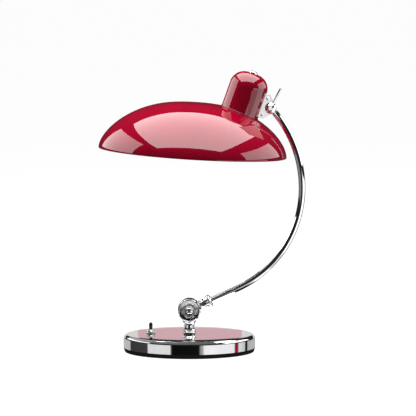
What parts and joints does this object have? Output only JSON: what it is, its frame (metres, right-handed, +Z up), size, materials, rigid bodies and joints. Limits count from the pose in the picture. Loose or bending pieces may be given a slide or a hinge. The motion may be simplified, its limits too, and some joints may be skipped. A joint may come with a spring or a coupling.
{
  "type": "desk lamp",
  "caption": "Desk lamp with a round weighted base, a curved tubular arm, a tilting head with an offset dome shade and a clamp lever.",
  "frame": {"origin": "centre of the base's underside, on the surface the lamp stands on", "axes": "+Z up; +X from the base's centre towards the curved arm; -Y is the front, where the clamp lever is; the arm and head lie in the plane Y=0"},
  "size_m": [0.313, 0.285, 0.4262],
  "materials": {
    "chrome": "mirror-polished chrome plate",
    "red_lacquer": "deep crimson high-gloss lacquer on spun steel, white inside",
    "zinc_steel": "bright zinc-plated steel",
    "cast_iron": "rough casting",
    "black_rubber": "matt black",
    "black_plastic": "black moulded",
    "fibre_washer": "vulcanised fibre",
    "white_plastic": "cream nylon",
    "porcelain": "glazed porcelain",
    "contact_brass": "plain brass",
    "wire_insulation": "white flexible insulation",
    "bulb_glass": "opal white glass"
  },
  "bodies": {
    "base": {"base_cover": "chrome", "base_pad": "black_rubber", "base_plate": "zinc_steel", "base_plate_screws": "zinc_steel", "base_weight": "cast_iron", "cable_grommet": "black_rubber", "friction_washers": "fibre_washer", "front_knuckle_cap": "chrome", "pivot_bolt": "chrome", "pivot_nut": "chrome", "pivot_spring_washer": "zinc_steel", "post_collar": "chrome", "post_flex": "wire_insulation", "post_fork": "chrome", "post_nut": "zinc_steel", "post_stud": "zinc_steel", "post_washer": "zinc_steel", "rear_knuckle_cap": "chrome", "switch_body": "black_plastic", "switch_bush": "chrome", "switch_leads": "wire_insulation", "switch_nut": "zinc_steel", "terminal_block": "white_plastic", "terminal_screws": "zinc_steel"},
    "toggle": {"switch_lever": "black_plastic"},
    "arm": {"arm_knuckle": "chrome", "arm_ferrule": "chrome", "arm_tube": "chrome", "arm_flex": "wire_insulation", "arm_eye": "chrome"},
    "head": {"shade": "red_lacquer", "shade_collar": "zinc_steel", "shade_screws": "zinc_steel", "shade_nuts": "zinc_steel", "cup": "red_lacquer", "finial": "chrome", "cup_nipple": "zinc_steel", "nipple_nut": "zinc_steel", "lampholder_shell": "black_plastic", "lampholder_insulator": "porcelain", "screw_shell": "contact_brass", "centre_contact": "contact_brass", "lampholder_leads": "wire_insulation", "bulb_glass": "bulb_glass", "bulb_cap": "contact_brass", "bulb_contact": "contact_brass", "bracket_block": "chrome", "bracket_front_cheek": "chrome", "bracket_rear_cheek": "chrome", "bracket_screws": "chrome", "bracket_nuts": "chrome", "cup_screws": "zinc_steel", "joint_washers": "fibre_washer", "clamp_bolt": "chrome"},
    "clamp_lever": {"lever_hub": "chrome", "lever_rod": "chrome"}
  },
  "joints": [
    {"name": "switch_throw", "type": "hinge", "parent": "base", "child": "toggle", "pos_m": [-0.0585, 0, 0.025], "axis": [-1, 0, 0], "range_deg": [0, 24]},
    {"name": "arm_tilt", "type": "hinge", "parent": "base", "child": "arm", "pos_m": [0, 0, 0.0629], "axis": [0, -1, 0], "range_deg": [-20, 30]},
    {"name": "head_tilt", "type": "hinge", "parent": "arm", "child": "head", "pos_m": [0.12286, 0, 0.3702], "axis": [0, 1, 0], "range_deg": [-4, 40]},
    {"name": "lever_turn", "type": "hinge", "parent": "head", "child": "clamp_lever", "pos_m": [0.12286, -0.0119, 0.3702], "axis": [0, 1, 0], "range_deg": [-30, 45]}
  ]
}
